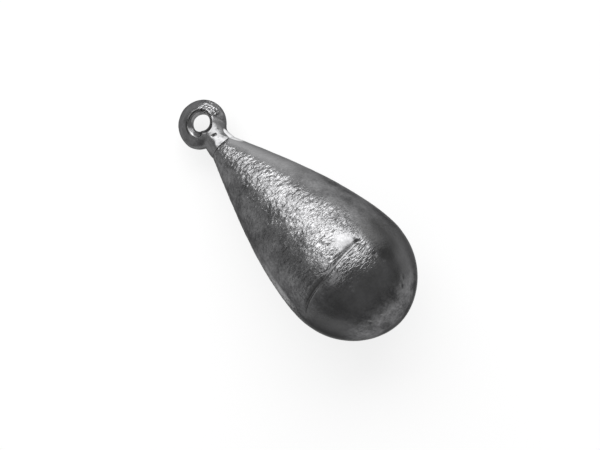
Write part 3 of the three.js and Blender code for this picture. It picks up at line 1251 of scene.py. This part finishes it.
def eye_finish():
    """Tone of the eye with its lighter bevel, the painted reflection oval on one side, and a bump that is
    strong where pitted.
    """
    finish, start = new_finish("smooth_cast_metal")
    where = sinker_places(start)
    blotch, mottle = noises(where, EYE_BLOTCH, EYE_MOTTLE)
    pitted = ramp(distance_to(where, PITTED_SPOT), *PITTED_REACH)
    cast = rubbed_bevel(where, eye_tone(where, blotch, mottle, pitted))
    # The neck's painted reflection reaches onto the collar
    colour = blend(shine_oval(where), cast, PAINTED_SHINE)
    height = mottle * (EYE_BUMP + pitted)
    bump = start.node("ShaderNodeBump", Height=height, Strength=1.0, Distance=EYE_BUMP_HEIGHT * MM)
    metal(start, colour, 1.0, SMOOTHEST + BLOTCH_ROUGHNESS * blotch - PITTED_SMOOTHER * pitted, bump)
    return finish


eye.data.materials.append(eye_finish())
print("eye finish on", eye.name, "with", len(eye.data.materials[0].node_tree.nodes), "nodes")

# %% [markdown]
# ## The pieces take the place of the plain solids
#
# The imported model holds a plain solid for each piece. Its own faces could be displaced, but they are too
# few to carry the skin, so each new mesh takes a solid's place. It rides on the one body of the part.

# %% Tie the pieces to the frame
for piece, node, slot in ((body, "lead_body", "lead"), (eye, "cast_in_eye", "eye_metal")):
    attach(piece, "root")
    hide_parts(node)
    print(piece.name, "stands for", node)

# %% [markdown]
# ## The sheet
#
# The sinker lies on white paper that is nearly burnt out. Brighter lamps would whiten the paper and spoil
# the metal. So for the camera and for reflections the sheet is mostly an even glow, chosen by the kind of
# ray. The rest of it is paper, which takes the soft shadow and throws light back.

# %% Lay the sheet under the sinker
FLOOR_REACH = 4.0  # metres
SHEET_WHITE = (0.84, 0.84, 0.84)
SHEET_ROUGHNESS = 0.9
SHEET_GLOW = 0.8
GLOW_RAYS = ("Is Camera Ray", "Is Glossy Ray", "Is Transmission Ray")


def sheet_finish():
    """White paper mixed with an even glow for the rays that see it."""
    finish, start = new_finish("white_sheet")
    paper = start.node("ShaderNodeBsdfPrincipled", Base_Color=(*SHEET_WHITE, 1), Roughness=SHEET_ROUGHNESS)
    glow = start.node("ShaderNodeEmission", Color=(1, 1, 1, 1), Strength=1.0)
    seen = sum(start.node("ShaderNodeLightPath", out=ray) for ray in GLOW_RAYS)
    shader = start.node("ShaderNodeMixShader", Fac=SHEET_GLOW * seen, i1=paper, i2=glow)
    start.node("ShaderNodeOutputMaterial", Surface=shader)
    return finish


lowest = body_points[:, 2].min() * MM
sheet_corners = np.array([[-1, -1, 0], [1, -1, 0], [1, 1, 0], [-1, 1, 0]]) * FLOOR_REACH + [0, 0, lowest]
sheet_mesh = bpy.data.meshes.new("sheet")
sheet_mesh.from_pydata(sheet_corners.tolist(), [], [(0, 1, 2, 3)])
sheet_mesh.materials.append(sheet_finish())
sheet = bpy.data.objects.new("sheet", sheet_mesh)
bpy.context.scene.collection.objects.link(sheet)
print("sheet at", round(lowest / MM, 3), "mm")

# %% [markdown]
# ## The light
#
# Metal shows what is round it. The wide highlight along the neck and belly is a window, and weaker panes of
# light lift the upper side and both flanks. Each is an area lamp between two directions. Lamps are usually
# set by watts, but then a wider pane is dimmer, so we give the brightness that a reflection shows and work
# out the watts.

# %% Lamps
LAMP_DISTANCE = 1.5  # metres
SOFTBOXES = (  # lower and upper direction as azimuth and elevation in degrees, width in metres, brightness
    ("window", (148, 21), (148, 60), 1.8, 5.8),
    ("upper_fill", (220, 48), (220, 76), 1.0, 1.7),
    ("right_fill", (104, 2), (104, 24), 1.0, 1.8),
    ("left_fill", (235, 3), (235, 30), 0.9, 0.5),
)


def toward(azimuth, elevation):
    """Unit vector at an azimuth from +X towards +Y and an elevation over the floor, in degrees."""
    a, e = np.radians([azimuth, elevation])
    return np.array([np.cos(a) * np.cos(e), np.sin(a) * np.cos(e), np.sin(e)])


def add_softbox(name, low, high, width, brightness):
    """An area lamp from one direction to another, facing the object. Power is brightness x area x pi."""
    ends = LAMP_DISTANCE * np.array([toward(*low), toward(*high)])
    middle = ends.mean(axis=0)
    length = np.linalg.norm(ends[1] - ends[0])
    long_way = (ends[1] - ends[0]) / length
    away = np.cross(np.cross(long_way, middle), long_way)
    away = away / np.linalg.norm(away)
    lamp = bpy.data.lights.new(name, "AREA")
    lamp.shape = "RECTANGLE"
    lamp.size = width
    lamp.size_y = length
    lamp.energy = brightness * width * length * np.pi
    holder = bpy.data.objects.new(name, lamp)
    holder.location = middle
    turned = np.stack([np.cross(long_way, away), long_way, away], axis=1)
    holder.rotation_euler = Matrix(turned.tolist()).to_euler()
    bpy.context.scene.collection.objects.link(holder)
    print(name, round(lamp.energy, 1), "W")


for softbox in SOFTBOXES:
    add_softbox(*softbox)

# %% [markdown]
# ## The surroundings
#
# A pale room fills what the lamps leave. An image of a room would bring its own patterns into the metal, so
# it is one even grey. The Standard view shows the colours as they are worked out.

# %% Even surroundings
SURROUNDINGS = 0.3

world = bpy.data.worlds.new("surroundings")
world.use_nodes = True
background = world.node_tree.nodes["Background"]
background.inputs["Color"].default_value = (1, 1, 1, 1)
background.inputs["Strength"].default_value = SURROUNDINGS
bpy.context.scene.world = world
bpy.context.scene.view_settings.view_transform = "Standard"
print("surroundings at", SURROUNDINGS)
